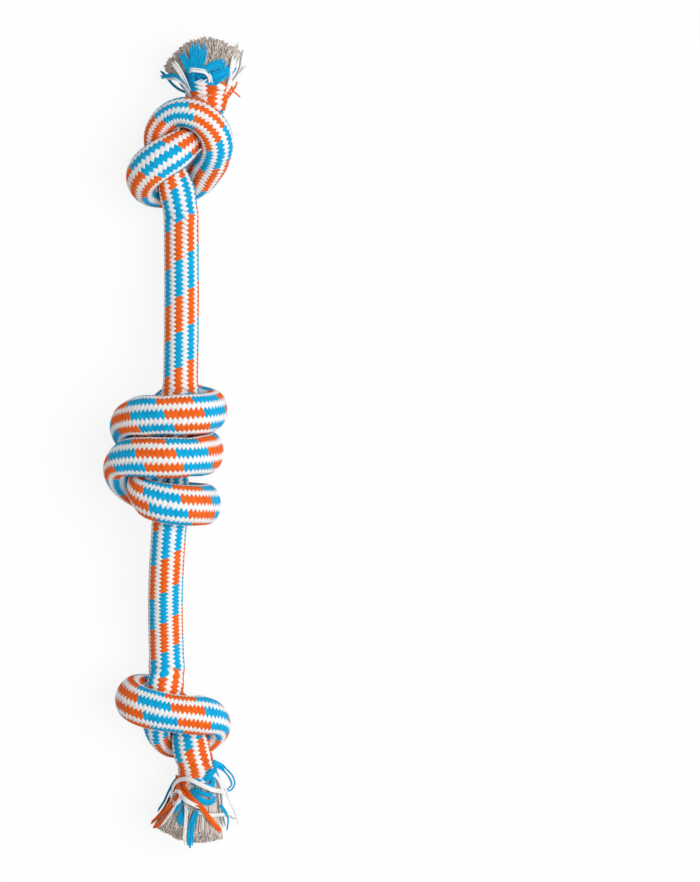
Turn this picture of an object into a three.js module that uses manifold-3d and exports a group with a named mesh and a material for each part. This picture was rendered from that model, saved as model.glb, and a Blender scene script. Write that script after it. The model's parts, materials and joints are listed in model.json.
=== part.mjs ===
// A rope tug toy for dogs: one length of braided cotton rope with an overhand knot near each end,
// a double overhand knot in the middle and both ends frayed into tassels.
// Millimetres. The toy lies on its knots on z = 0, its length along y.
import * as THREE from "three";
import { mergeVertices } from "three/addons/utils/BufferGeometryUtils.js";
import Module from "manifold-3d";

// The rope
const ROPE_DIAMETER = 22;
const COVER_WALL = 4;
const CORE_GAP = 0.3;
const ROPE_RADIUS = ROPE_DIAMETER / 2;

// The knots: where the rope bends it flattens, and its turns lie side by side with this clearance
const TURN_CLEARANCE = 0.77;
const FLATTENING = 0.17;
const FULL_FLATTENING_BEND = 0.75;
const FLAT_DEPTH = ROPE_DIAMETER / 10;
const KNOT_SIDES = 8;
const KNOT_STEP = 0.42;
const MIDDLE_KNOT_PULL = 0.012;
const END_KNOT_PULL = 0.03;
const GROUND_SIDE = 1000;
const GROUND_DEPTH = 100;

// The plain spans of rope, each with four bending places
const UPPER_SPAN = 88.6;
const LOWER_SPAN = 65.5;
const UPPER_SPAN_BOW = 0.4;
const LOWER_SPAN_BOW = -1.2;
const UPPER_SPAN_LEAN = 0.1;
const LOWER_SPAN_LEAN = -1;
const LINKS_PER_SPAN = 3;
const SOCKET_CLEARANCE = 0.8;
const BALL_SEGMENTS = 16;
const BALL_ROWS = 12;
const SPAN_SIDES = 16;
const RIM_SETBACK = 0.6 * ROPE_RADIUS;

// The tassels
const TOP_TUFT_LENGTH = 31;
const TOP_TUFT_RADIUS = 24;
const TOP_TUFT_FLANK = 0.62;
const TOP_TUFT_LEAN = -6;
const BOTTOM_TUFT_LENGTH = 41;
const BOTTOM_TUFT_RADIUS = 24.5;
const BOTTOM_TUFT_FLANK = 0.8;
const BOTTOM_TUFT_LEAN = -8;
const TUFT_SIDES = 20;
const YARN_END_DIAMETER = 3;
const YARN_END_GAP = 0.35;
const YARN_END_SIDES = 6;

// Routes through the knots, in rope diameters: across, along, up, and how full the rope is
// where its neighbours squeeze it (1 where nothing does)
const MIDDLE_KNOT = [
  [0.34, 2.4, 0, 1],
  [0.34, 2, 0, 1],
  [0.33, 1.6, 0.05, 1],
  [0.3, 1.2, 0.2, 0.92],
  [0.2, 0.8, 0.3, 0.82],
  [0, 0.3, 0.25, 0.82],
  [-0.36, -0.2, 0.1, 0.82],
  [-0.76, -0.57, 0, 0.86],
  [-0.98, -0.95, 0.45, 0.97],
  [-0.68, -1.16, 0.97, 1],
  [0, -1.28, 1.15, 1],
  [0.6, -1.34, 0.95, 1],
  [1.1, -1.3, 0.15, 1],
  [0.78, -1.17, -0.72, 1],
  [0, -1.08, -1.05, 1],
  [-0.7, -0.98, -1.05, 1],
  [-1.15, -0.85, -0.75, 1],
  [-1.42, -0.5, -0.35, 1],
  [-1.12, -0.05, 0.1, 1],
  [-0.95, 0.12, 0.62, 1],
  [0, 0.06, 1.15, 1],
  [0.9, 0.08, 0.8, 1],
  [1.28, 0.25, 0, 1],
  [0.9, 0.4, -0.8, 1],
  [0, 0.6, -1.15, 1],
  [-0.9, 0.75, -0.8, 1],
  [-1.16, 0.9, 0, 1],
  [-0.9, 1.1, 0.8, 1],
  [0, 1.23, 1.15, 1],
  [0.9, 1.25, 0.8, 1],
  [1.24, 1.35, 0, 1],
  [0.85, 1.5, -0.7, 1],
  [0.1, 1.55, -0.9, 1],
  [-0.45, 1.35, -0.7, 0.9],
  [-0.5, 0.9, -0.4, 0.82],
  [-0.25, 0.4, -0.45, 0.82],
  [0, -0.1, -0.45, 0.82],
  [0.1, -0.7, -0.25, 0.82],
  [0.08, -1.3, 0, 0.95],
  [0.03, -1.7, 0, 1],
  [0, -2.1, 0, 1],
  [-0.03, -2.5, 0, 1],
];
const TOP_KNOT = [
  [0.06, -2.4, 0, 1],
  [0.06, -2, 0, 1],
  [0.03, -1.43, 0, 1],
  [-0.06, -0.86, 0, 0.92],
  [-0.23, -0.34, -0.1, 0.82],
  [-0.49, 0.14, -0.15, 0.88],
  [-0.58, 0.6, 0, 1],
  [-0.28, 1, 0.2, 1],
  [0.23, 1.11, 0.45, 1],
  [0.68, 0.86, 0.6, 1],
  [0.88, 0.23, 0.5, 0.97],
  [0.8, -0.43, -0.1, 0.97],
  [0.45, -0.94, -0.7, 1],
  [0, -1.11, -1, 1],
  [-0.57, -1.14, -0.75, 1],
  [-1.12, -0.86, 0, 1],
  [-0.95, -0.49, 0.7, 1],
  [-0.43, -0.2, 1, 1],
  [0.11, 0.06, 0.75, 0.95],
  [0.36, 0.3, 0, 0.82],
  [0.54, 0.65, -0.5, 0.8],
  [0.68, 1, -0.55, 0.85],
  [0.76, 1.3, -0.42, 0.95],
  [0.79, 1.55, -0.35, 1],
  [0.81, 1.85, -0.28, 1],
];
const BOTTOM_KNOT = [
  [-0.12, 1.75, 0, 1],
  [-0.11, 1.3, 0, 1],
  [-0.12, 0.8, 0.05, 1],
  [-0.2, 0.3, 0.1, 0.86],
  [-0.28, -0.2, 0.05, 0.82],
  [-0.25, -0.7, -0.25, 0.9],
  [0, -0.95, -0.65, 1],
  [0.45, -0.93, -0.9, 1],
  [0.85, -0.72, -0.6, 0.96],
  [1, -0.4, 0, 0.92],
  [0.85, -0.17, 0.7, 0.97],
  [0.4, -0.06, 1.05, 1],
  [0, -0.02, 1.1, 1],
  [-0.5, 0.05, 1, 1],
  [-0.88, 0.18, 0.62, 1],
  [-1, 0.36, 0, 1],
  [-0.8, 0.53, -0.6, 1],
  [-0.3, 0.65, -0.95, 1],
  [0.15, 0.5, -0.8, 0.88],
  [0.32, 0.1, -0.35, 0.78],
  [0.36, -0.35, -0.05, 0.74],
  [0.54, -0.8, 0.1, 0.92],
  [0.68, -1.3, 0.05, 1],
  [0.74, -1.62, 0, 1],
  [0.8, -1.95, 0, 1],
];

// Loose ends of the cover's yarns round each tassel: colour, angle round the tassel from its
// upper side, share of the tuft's length where the end leaves it, and free length in mm
const TOP_YARN_ENDS = [
  ["white", -78, 0.5, 9],
  ["blue", -104, 0.32, 14],
  ["blue", -24, 0.62, 5],
  ["blue", 28, 0.55, 5],
  ["white", 56, 0.6, 8],
  ["white", 82, 0.5, 11],
  ["orange", 108, 0.3, 9],
  ["orange", 134, 0.4, 6],
];
const BOTTOM_YARN_ENDS = [
  ["orange", 98, 0.6, 13],
  ["white", 68, 0.7, 9],
  ["blue", 42, 0.75, 5],
  ["white", 22, 0.8, 6],
  ["blue", 6, 0.8, 6],
  ["orange", -34, 0.8, 5],
  ["blue", -60, 0.75, 6],
  ["white", -86, 0.6, 13],
];

const wasm = await Module();
wasm.setup();

const COLOURS = {
  cover: new THREE.Color(0.62, 0.55, 0.5),
  core: new THREE.Color(0.42, 0.36, 0.33),
  white: new THREE.Color(0.9, 0.89, 0.86),
  blue: new THREE.Color(0.0, 0.39, 0.76),
  orange: new THREE.Color(0.94, 0.13, 0.01),
};

function yarnMaterial(colour) {
  return new THREE.MeshStandardMaterial({ color: COLOURS[colour], roughness: 0.85, metalness: 0 });
}

// Solids: a closed geometry as a solid that can be cut, and back

function toSolid(geometry) {
  const bare = geometry.clone();
  bare.deleteAttribute("normal");
  bare.deleteAttribute("uv");
  const merged = mergeVertices(bare, 1e-4);
  return new wasm.Manifold(
    new wasm.Mesh({
      numProp: 3,
      vertProperties: merged.attributes.position.array,
      triVerts: new Uint32Array(merged.index.array),
    }),
  );
}

function toGeometry(solid) {
  const mesh = solid.getMesh();
  const geometry = new THREE.BufferGeometry();
  geometry.setAttribute("position", new THREE.BufferAttribute(mesh.vertProperties, 3));
  geometry.setIndex(new THREE.BufferAttribute(mesh.triVerts, 1));
  geometry.computeVertexNormals();
  return geometry;
}

// Routes: a smooth curve through the chosen points, spaced evenly

function mix(a, b, t) {
  return a.map((value, axis) => value + (b[axis] - value) * t);
}

function distance(a, b) {
  return Math.hypot(a[0] - b[0], a[1] - b[1], a[2] - b[2]);
}

function lengthsAlong(route) {
  const lengths = [0];
  for (let i = 1; i < route.length; i++) lengths.push(lengths[i - 1] + distance(route[i - 1], route[i]));
  return lengths;
}

function spaceEvenly(route, count) {
  const lengths = lengthsAlong(route);
  const total = lengths[lengths.length - 1];
  const spaced = [];
  let piece = 0;
  for (let i = 0; i < count; i++) {
    const place = (total * i) / (count - 1);
    while (piece < route.length - 2 && lengths[piece + 1] < place) piece++;
    const t = (place - lengths[piece]) / (lengths[piece + 1] - lengths[piece]);
    spaced.push(mix(route[piece], route[piece + 1], Math.min(1, t)));
  }
  return spaced;
}

function smoothRoute(points, step) {
  const STEPS = 24;
  const last = points.length - 1;
  const ends = [mix(points[1], points[0], 2), ...points, mix(points[last - 1], points[last], 2)];
  const fine = [];
  for (let i = 1; i <= last; i++) {
    const [a, b, c, d] = ends.slice(i - 1, i + 3);
    for (let k = 0; k < STEPS; k++) {
      const t = k / STEPS;
      fine.push(
        b.map(
          (value, axis) =>
            0.5 *
            (2 * value +
              (c[axis] - a[axis]) * t +
              (2 * a[axis] - 5 * value + 4 * c[axis] - d[axis]) * t ** 2 +
              (3 * value - a[axis] - 3 * c[axis] + d[axis]) * t ** 3),
        ),
      );
    }
  }
  fine.push(points[last]);
  const lengths = lengthsAlong(fine);
  return spaceEvenly(fine, Math.round(lengths[lengths.length - 1] / step) + 1);
}

// How the rope flattens: the direction towards the inside of the bend, scaled by the share it flattens
function flattenings(route) {
  const count = route.length;
  const lengths = lengthsAlong(route);
  const spacing = lengths[count - 1] / (count - 1);
  let bends = route.map((point, i) =>
    [0, 1, 2].map((axis) =>
      i === 0 || i === count - 1
        ? 0
        : (route[i - 1][axis] - 2 * point[axis] + route[i + 1][axis]) / spacing ** 2,
    ),
  );
  for (let pass = 0; pass < 3; pass++) {
    bends = bends.map((bend, i) =>
      i === 0 || i === count - 1
        ? bend
        : bend.map((value, axis) => (bends[i - 1][axis] + 2 * value + bends[i + 1][axis]) / 4),
    );
  }
  return bends.map((bend, i) => {
    if (i < 2 || i > count - 3) return { towards: [0, 0, 0], share: 0 };
    const size = Math.hypot(...bend);
    const towards = bend.map((value) => value / Math.max(size, 1e-9));
    return { towards, share: FLATTENING * Math.min(1, size / FULL_FLATTENING_BEND) ** 2 };
  });
}

// Half the rope's width at a point of its route in a direction across it, in rope diameters
function reach(fullness, flat, direction) {
  const inward = flat.towards.reduce((sum, value, axis) => sum + value * direction[axis], 0) ** 2;
  const thin = (1 - flat.share) ** 2 * inward;
  const wide = (1 + flat.share) ** 2 * (1 - inward);
  return 0.5 * fullness * Math.sqrt(thin + wide);
}

const NEIGHBOUR_LENGTH = 1.7;

// Pairs of places where two turns of the rope lie near each other, with the gap between them
function nearPairs(route, flats) {
  const lengths = lengthsAlong(route);
  const pairs = [];
  for (let i = 0; i < route.length; i++) {
    for (let j = i + 1; j < route.length; j++) {
      if (lengths[j] - lengths[i] <= NEIGHBOUR_LENGTH) continue;
      const apart = distance(route[i], route[j]);
      if (apart >= 1.5) continue;
      const direction = [0, 1, 2].map((axis) => (route[j][axis] - route[i][axis]) / apart);
      const need = reach(route[i][3], flats[i], direction) + reach(route[j][3], flats[j], direction);
      pairs.push({ i, j, direction, gap: apart - need });
    }
  }
  return pairs;
}

// Draws a knot up: turns that lie too close push each other apart, and the rope's pull keeps it smooth
function settle(route, firmPull) {
  const ROUNDS = 300;
  const HELD = 4;
  const clearance = TURN_CLEARANCE / ROPE_DIAMETER;
  const count = route.length;
  const fullness = route.map((point) => point[3]);
  for (let round = 0; round < ROUNDS; round++) {
    const moves = route.map(() => [0, 0, 0]);
    const hits = route.map(() => 0);
    for (const { i, j, direction, gap } of nearPairs(route, flattenings(route))) {
      const push = (clearance - gap) / 2;
      if (push <= 0) continue;
      hits[i]++;
      hits[j]++;
      for (let axis = 0; axis < 3; axis++) {
        moves[i][axis] -= push * direction[axis];
        moves[j][axis] += push * direction[axis];
      }
    }
    const pull = firmPull * (1 - (0.7 * round) / ROUNDS);
    const moved = route.map((point, i) => {
      if (i < HELD || i >= count - HELD) return point;
      return point.map((value, axis) => {
        if (axis === 3) return value;
        const straighten = route[i - 1][axis] - 2 * value + route[i + 1][axis];
        return value + (0.5 * moves[i][axis]) / Math.sqrt(Math.max(1, hits[i])) + pull * straighten;
      });
    });
    route = spaceEvenly(moved, count).map((point, i) => [point[0], point[1], point[2], fullness[i]]);
  }
  return route;
}

function knotRoute(name, points, firmPull) {
  const SETTLE_STEP = 0.2;
  const route = settle(smoothRoute(points, SETTLE_STEP), firmPull);
  const gaps = nearPairs(route, flattenings(route)).map((pair) => pair.gap * ROPE_DIAMETER);
  console.log(`${name}: least gap of the rope to itself ${Math.min(...gaps).toFixed(2)} mm`);
  return route;
}

// Rope: rings across a route, and closed tubes through them

function placeOf(route, index, origin) {
  const [x, y, z] = route[index];
  return new THREE.Vector3(x, y, z).multiplyScalar(ROPE_DIAMETER).add(origin);
}

// A ring for each place on a route: its middle in mm, two directions across the rope, its flattening
function ropeRings(route, origin) {
  const flats = flattenings(route);
  const middles = route.map((point, i) => placeOf(route, i, origin));
  let across = null;
  return middles.map((middle, i) => {
    const before = middles[Math.max(0, i - 1)];
    const after = middles[Math.min(middles.length - 1, i + 1)];
    const along = after.clone().sub(before).normalize();
    if (!across) across = new THREE.Vector3(0, 0, 1).cross(along);
    across = across.clone().addScaledVector(along, -across.dot(along)).normalize();
    const towards = new THREE.Vector3(...flats[i].towards);
    const side = along.clone().cross(across);
    return { middle, along, across, side, towards, share: flats[i].share, radius: ROPE_RADIUS * route[i][3] };
  });
}

function movedRing(ring, shift) {
  return { ...ring, middle: ring.middle.clone().addScaledVector(ring.along, shift), share: 0 };
}

// The points round one ring, drawn in from the rope's surface by inset
function ringPoints(ring, inset, sides) {
  const points = [];
  for (let k = 0; k < sides; k++) {
    const angle = (2 * Math.PI * k) / sides;
    const radius = ring.radius - inset;
    const spoke = ring.across.clone().multiplyScalar(radius * Math.cos(angle));
    spoke.addScaledVector(ring.side, radius * Math.sin(angle));
    const inward = spoke.dot(ring.towards);
    spoke.multiplyScalar(1 + ring.share).addScaledVector(ring.towards, -2 * ring.share * inward);
    points.push(spoke.add(ring.middle));
  }
  return points;
}

function wallFaces(faces, rows, first, sides, inward) {
  for (let row = 0; row < rows - 1; row++) {
    for (let k = 0; k < sides; k++) {
      const a = first + row * sides + k;
      const b = first + row * sides + ((k + 1) % sides);
      const c = a + sides;
      const d = b + sides;
      faces.push(...(inward ? [a, c, b, b, c, d] : [a, b, c, b, d, c]));
    }
  }
}

function geometryOf(points, faces) {
  const geometry = new THREE.BufferGeometry().setFromPoints(points);
  geometry.setIndex(faces);
  geometry.computeVertexNormals();
  return geometry;
}

// A solid rod through the rings
function rod(rings, inset, sides) {
  const points = rings.flatMap((ring) => ringPoints(ring, inset, sides));
  const faces = [];
  wallFaces(faces, rings.length, 0, sides, false);
  const start = points.push(rings[0].middle.clone()) - 1;
  const end = points.push(rings[rings.length - 1].middle.clone()) - 1;
  const lastRow = (rings.length - 1) * sides;
  for (let k = 0; k < sides; k++) {
    const next = (k + 1) % sides;
    faces.push(start, next, k, end, lastRow + k, lastRow + next);
  }
  return geometryOf(points, faces);
}

// A sleeve through the rings, open at both ends
function sleeve(rings, wall, sides) {
  const points = rings.flatMap((ring) => ringPoints(ring, 0, sides));
  points.push(...rings.flatMap((ring) => ringPoints(ring, wall, sides)));
  const faces = [];
  const inner = rings.length * sides;
  wallFaces(faces, rings.length, 0, sides, false);
  wallFaces(faces, rings.length, inner, sides, true);
  const lastRow = (rings.length - 1) * sides;
  for (let k = 0; k < sides; k++) {
    const next = (k + 1) % sides;
    faces.push(k, inner + k, next, inner + k, inner + next, next);
    const [outA, outB] = [lastRow + k, lastRow + next];
    faces.push(outA, outB, inner + outA, inner + outA, outB, inner + outB);
  }
  return geometryOf(points, faces);
}

// Bending places: a rounded end of the rope turns in a hollow end

function ball(centre, radius) {
  const geometry = new THREE.SphereGeometry(radius, BALL_SEGMENTS, BALL_ROWS);
  return toSolid(geometry.translate(centre.x, centre.y, centre.z));
}

function hollowEnd(centre) {
  return ball(centre, ROPE_RADIUS + SOCKET_CLEARANCE);
}

// What has to go from a straight end of rope, which runs on past the centre, to round it off
function roundingOf(centre, outward) {
  const height = 2 * ROPE_RADIUS;
  const block = new THREE.CylinderGeometry(2 * ROPE_RADIUS, 2 * ROPE_RADIUS, height, SPAN_SIDES);
  block.translate(0, height / 2, 0);
  block.applyQuaternion(new THREE.Quaternion().setFromUnitVectors(new THREE.Vector3(0, 1, 0), outward));
  block.translate(centre.x, centre.y, centre.z);
  return toSolid(block).subtract(ball(centre, ROPE_RADIUS));
}

// Ends the rings short of the last one, square across, where a hollow end has its rim
function withRim(rings) {
  const last = rings[rings.length - 1];
  const rim = movedRing(last, -RIM_SETBACK);
  const kept = rings.filter((ring) => ring.middle.distanceTo(last.middle) > RIM_SETBACK + 1);
  return [...kept, rim];
}

function reversed(rings) {
  const turned = ({ along, side }) => ({ along: along.clone().negate(), side: side.clone().negate() });
  return [...rings].reverse().map((ring) => ({ ...ring, ...turned(ring) }));
}

const toy = new THREE.Group();

function addMesh(name, geometry, colour) {
  const mesh = new THREE.Mesh(geometry, yarnMaterial(colour));
  mesh.name = name;
  toy.add(mesh);
  return mesh;
}

// Knots, each pressed flat where it lies on the ground

function coarseRoute(route) {
  return spaceEvenly(route, Math.round(lengthsAlong(route).at(-1) / KNOT_STEP) + 1);
}

function lowestOf(route) {
  const rings = ropeRings(coarseRoute(route), new THREE.Vector3());
  const points = rings.flatMap((ring) => ringPoints(ring, 0, KNOT_SIDES));
  return Math.min(...points.map((point) => point.z));
}

// The height of a knot's middle plane when it lies on its underside
function restingHeight(route) {
  return -lowestOf(route) - FLAT_DEPTH;
}

const groundBox = new THREE.BoxGeometry(GROUND_SIDE, GROUND_SIDE, GROUND_DEPTH);
const ground = toSolid(groundBox.translate(0, 0, -GROUND_DEPTH / 2));

// A knot's cover and core. Its first end is hollow or rounded, and its last end is hollow
function addKnot(name, route, origin, firstEndHollow) {
  let rings = withRim(ropeRings(coarseRoute(route), origin));
  const first = rings[0];
  const cuts = [hollowEnd(placeOf(route, route.length - 1, origin))];
  if (firstEndHollow) {
    rings = reversed(withRim(reversed(rings)));
    cuts.push(hollowEnd(first.middle));
  } else {
    rings = [movedRing(first, -1.2 * ROPE_RADIUS), ...rings];
    cuts.push(roundingOf(first.middle, first.along.clone().negate()));
  }
  const cut = (solid) => cuts.reduce((left, cutter) => left.subtract(cutter), solid);
  const cover = cut(toSolid(sleeve(rings, COVER_WALL, KNOT_SIDES))).subtract(ground);
  const core = cut(toSolid(rod(rings, COVER_WALL + CORE_GAP, KNOT_SIDES)));
  addMesh(`${name}_knot_cover`, toGeometry(cover), "cover");
  addMesh(`${name}_knot_core`, toGeometry(core), "core");
}

// Spans: links of rope, rounded at one end and hollow at the other

function arc(centre, radius, from, to, steps) {
  const points = [];
  for (let i = 0; i <= steps; i++) {
    const angle = from + ((to - from) * i) / steps;
    points.push(new THREE.Vector2(radius * Math.cos(angle), centre + radius * Math.sin(angle)));
  }
  return points;
}

function linkCover(length) {
  const bore = ROPE_RADIUS - COVER_WALL;
  const hollow = ROPE_RADIUS + SOCKET_CLEARANCE;
  const profile = [
    ...arc(0, ROPE_RADIUS, -Math.acos(bore / ROPE_RADIUS), 0, 3),
    new THREE.Vector2(ROPE_RADIUS, length - RIM_SETBACK),
    ...arc(length, hollow, -Math.asin(RIM_SETBACK / hollow), -Math.acos(bore / hollow), 2),
  ];
  return new THREE.LatheGeometry([...profile, profile[0]], SPAN_SIDES);
}

function linkCore(length) {
  const radius = ROPE_RADIUS - COVER_WALL - CORE_GAP;
  const hollow = ROPE_RADIUS + SOCKET_CLEARANCE;
  const profile = [
    ...arc(0, ROPE_RADIUS, -Math.PI / 2, -Math.acos(radius / ROPE_RADIUS), 3),
    ...arc(length, hollow, -Math.acos(radius / hollow), -Math.PI / 2, 3),
  ];
  profile[0].x = 0;
  profile[profile.length - 1].x = 0;
  return new THREE.LatheGeometry(profile, SPAN_SIDES);
}

function bendingPlaces(from, to, bow) {
  const places = [];
  for (let i = 0; i <= LINKS_PER_SPAN; i++) {
    const t = i / LINKS_PER_SPAN;
    const place = from.clone().lerp(to, t);
    place.x += bow * Math.sin(Math.PI * t);
    places.push(place);
  }
  return places;
}

function addSpan(name, places) {
  for (let i = 0; i < LINKS_PER_SPAN; i++) {
    const reachOut = places[i + 1].clone().sub(places[i]);
    const turn = new THREE.Quaternion().setFromUnitVectors(
      new THREE.Vector3(0, 1, 0),
      reachOut.clone().normalize(),
    );
    const cover = addMesh(`${name}_rope_cover_${i + 1}`, linkCover(reachOut.length()), "cover");
    const core = addMesh(`${name}_rope_core_${i + 1}`, linkCore(reachOut.length()), "core");
    for (const mesh of [cover, core]) {
      mesh.position.copy(places[i]);
      mesh.quaternion.copy(turn);
    }
  }
}

// Tassels: the core's yarns fan out in a tuft, with loose ends of the cover's yarns round it

// The flank widens up to a share of the tuft's length, where the dome of cut ends begins
function flankRadius(tuft, along) {
  const share = Math.max(0, along / (tuft.flank * tuft.length));
  return ROPE_RADIUS + (tuft.radius - ROPE_RADIUS) * share ** 1.5;
}

function tuftGeometry(tuft) {
  const flankEnd = tuft.flank * tuft.length;
  const FLANK_STEPS = 5;
  const DOME_STEPS = 4;
  const profile = arc(0, ROPE_RADIUS, -Math.PI / 2, 0, 5);
  profile[0].x = 0;
  for (let i = 1; i <= FLANK_STEPS; i++) {
    const along = (flankEnd * i) / FLANK_STEPS;
    profile.push(new THREE.Vector2(flankRadius(tuft, along), along));
  }
  for (let i = 1; i <= DOME_STEPS; i++) {
    const angle = (Math.PI / 2) * (i / DOME_STEPS);
    const radius = i === DOME_STEPS ? 0 : tuft.radius * Math.cos(angle);
    profile.push(new THREE.Vector2(radius, flankEnd + (tuft.length - flankEnd) * Math.sin(angle)));
  }
  return new THREE.LatheGeometry(profile, TUFT_SIDES);
}

// A yarn's end runs up the tuft's flank, leaves it and curls outwards, in the plane of its angle
function yarnEndRings(tuft, angle, leaves, free) {
  const START = 4;
  const CURL = 0.35;
  const clear = YARN_END_DIAMETER / 2 + YARN_END_GAP;
  const slopeAt = (along) => (flankRadius(tuft, along + 0.1) - flankRadius(tuft, along - 0.1)) / 0.2;
  const places = [];
  const leaving = Math.min(leaves, tuft.flank) * tuft.length;
  for (const share of [0, 0.33, 0.67, 1]) {
    const along = START + (leaving - START) * share;
    const slope = slopeAt(along);
    const size = Math.hypot(1, slope);
    places.push([flankRadius(tuft, along) + clear / size, along - (clear * slope) / size]);
  }
  const out = Math.atan(slopeAt(leaving));
  const [radius, height] = places[places.length - 1];
  for (const share of [0.5, 1]) {
    const lean = out + CURL * share;
    places.push([radius + free * share * Math.sin(lean), height + free * share * Math.cos(lean)]);
  }
  const turn = THREE.MathUtils.degToRad(angle);
  const middles = places.map(
    ([r, along]) => new THREE.Vector3(r * Math.sin(turn), along, r * Math.cos(turn)),
  );
  const side = new THREE.Vector3(Math.cos(turn), 0, -Math.sin(turn));
  return middles.map((middle, i) => {
    const before = middles[Math.max(0, i - 1)];
    const after = middles[Math.min(middles.length - 1, i + 1)];
    const along = after.clone().sub(before).normalize();
    return {
      middle,
      along,
      across: side,
      side: along.clone().cross(side),
      towards: new THREE.Vector3(),
      share: 0,
      radius: YARN_END_DIAMETER / 2,
    };
  });
}

function addTassel(name, place, direction, tuft, yarnEnds) {
  const turn = new THREE.Matrix4().makeBasis(
    direction.clone().cross(new THREE.Vector3(0, 0, 1)).normalize(),
    direction,
    new THREE.Vector3(0, 0, 1),
  );
  turn.setPosition(place);
  const fan = toSolid(tuftGeometry(tuft).applyMatrix4(turn)).subtract(ground);
  addMesh(`${name}_tassel_core`, toGeometry(fan), "core");
  const counts = {};
  for (const [colour, angle, leaves, free] of yarnEnds) {
    counts[colour] = (counts[colour] ?? 0) + 1;
    const geometry = rod(yarnEndRings(tuft, angle, leaves, free), 0, YARN_END_SIDES);
    addMesh(`${name}_tassel_${colour}_yarn_${counts[colour]}`, geometry.applyMatrix4(turn), colour);
  }
}

function leaning(degrees, along) {
  const lean = THREE.MathUtils.degToRad(degrees);
  return new THREE.Vector3(Math.sin(lean), along * Math.cos(lean), 0);
}

// The toy, from its middle knot outwards
const middleRoute = knotRoute("middle knot", MIDDLE_KNOT, MIDDLE_KNOT_PULL);
const topRoute = knotRoute("top knot", TOP_KNOT, END_KNOT_PULL);
const bottomRoute = knotRoute("bottom knot", BOTTOM_KNOT, END_KNOT_PULL);

const middleOrigin = new THREE.Vector3(0, 0, restingHeight(middleRoute));
addKnot("middle", middleRoute, middleOrigin, true);

// An end knot stands a span's length from the middle knot, on its own underside
function endKnotOrigin(from, route, lean, length) {
  const start = placeOf(route, 0, new THREE.Vector3());
  return new THREE.Vector3(from.x + lean - start.x, from.y + length - start.y, restingHeight(route));
}

const upperStart = placeOf(middleRoute, 0, middleOrigin);
const topOrigin = endKnotOrigin(upperStart, topRoute, UPPER_SPAN_LEAN, UPPER_SPAN);
const upperPlaces = bendingPlaces(upperStart, placeOf(topRoute, 0, topOrigin), UPPER_SPAN_BOW);
addSpan("upper", upperPlaces);
addKnot("top", topRoute, topOrigin, false);

const lowerStart = placeOf(middleRoute, middleRoute.length - 1, middleOrigin);
const bottomOrigin = endKnotOrigin(lowerStart, bottomRoute, LOWER_SPAN_LEAN, -LOWER_SPAN);
const lowerPlaces = bendingPlaces(lowerStart, placeOf(bottomRoute, 0, bottomOrigin), LOWER_SPAN_BOW);
addSpan("lower", lowerPlaces);
addKnot("bottom", bottomRoute, bottomOrigin, false);

const topEnd = placeOf(topRoute, topRoute.length - 1, topOrigin);
const topTuft = { length: TOP_TUFT_LENGTH, radius: TOP_TUFT_RADIUS, flank: TOP_TUFT_FLANK };
addTassel("top", topEnd, leaning(TOP_TUFT_LEAN, 1), topTuft, TOP_YARN_ENDS);
const bottomEnd = placeOf(bottomRoute, bottomRoute.length - 1, bottomOrigin);
const bottomTuft = { length: BOTTOM_TUFT_LENGTH, radius: BOTTOM_TUFT_RADIUS, flank: BOTTOM_TUFT_FLANK };
addTassel("bottom", bottomEnd, leaning(BOTTOM_TUFT_LEAN, -1), bottomTuft, BOTTOM_YARN_ENDS);

// The origin is on the ground under the middle of the toy's box
const centre = new THREE.Box3().setFromObject(toy, true).getCenter(new THREE.Vector3());
toy.position.set(-centre.x, -centre.y, 0);
for (const [name, places] of [
  ["upper span", upperPlaces],
  ["lower span", lowerPlaces],
  ["tassels", [topEnd, bottomEnd]],
]) {
  const shown = places.map((place) => place.clone().add(toy.position).toArray());
  const words = shown.map((place) => place.map((value) => value.toFixed(3)).join(" "));
  console.log(`bending places of the ${name}: ${words.join(", ")}`);
}

const part = new THREE.Group();
part.add(toy);
export default part;
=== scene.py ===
import json
import math

import bpy
import numpy as np
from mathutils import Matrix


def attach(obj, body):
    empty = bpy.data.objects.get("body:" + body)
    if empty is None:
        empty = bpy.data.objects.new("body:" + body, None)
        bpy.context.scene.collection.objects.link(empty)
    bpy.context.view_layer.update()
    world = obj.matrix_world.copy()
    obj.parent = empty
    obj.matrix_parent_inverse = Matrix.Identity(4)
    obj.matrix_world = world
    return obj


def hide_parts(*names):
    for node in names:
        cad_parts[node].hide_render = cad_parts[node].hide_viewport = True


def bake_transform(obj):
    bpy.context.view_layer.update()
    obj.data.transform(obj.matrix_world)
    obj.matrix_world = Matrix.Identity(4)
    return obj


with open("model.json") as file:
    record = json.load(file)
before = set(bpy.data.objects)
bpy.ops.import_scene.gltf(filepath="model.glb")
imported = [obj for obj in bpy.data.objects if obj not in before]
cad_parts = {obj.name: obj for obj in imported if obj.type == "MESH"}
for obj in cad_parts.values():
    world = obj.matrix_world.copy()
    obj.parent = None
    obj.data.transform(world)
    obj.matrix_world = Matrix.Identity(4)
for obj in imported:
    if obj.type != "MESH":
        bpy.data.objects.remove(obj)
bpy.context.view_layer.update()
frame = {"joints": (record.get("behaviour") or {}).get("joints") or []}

METRE = 1000
JOINTS = {joint["name"]: np.array(joint["pos_m"]) * METRE for joint in frame["joints"]}
ROPE_DIAMETER = 22

# Camera: straight above, with a long lens, over the middle of the photograph's frame
PHOTO_HEIGHT = 882
ROPE_PIXELS = 35
MM_PER_PIXEL = ROPE_DIAMETER / ROPE_PIXELS
PHOTO_MIDDLE = JOINTS["upper_bend_1"] + (106.29, -41.48, 0)
CAMERA_HEIGHT = 4000
SHARP_HEIGHT = 30
SENSOR = 36
FARTHEST_METRES = 100

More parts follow.
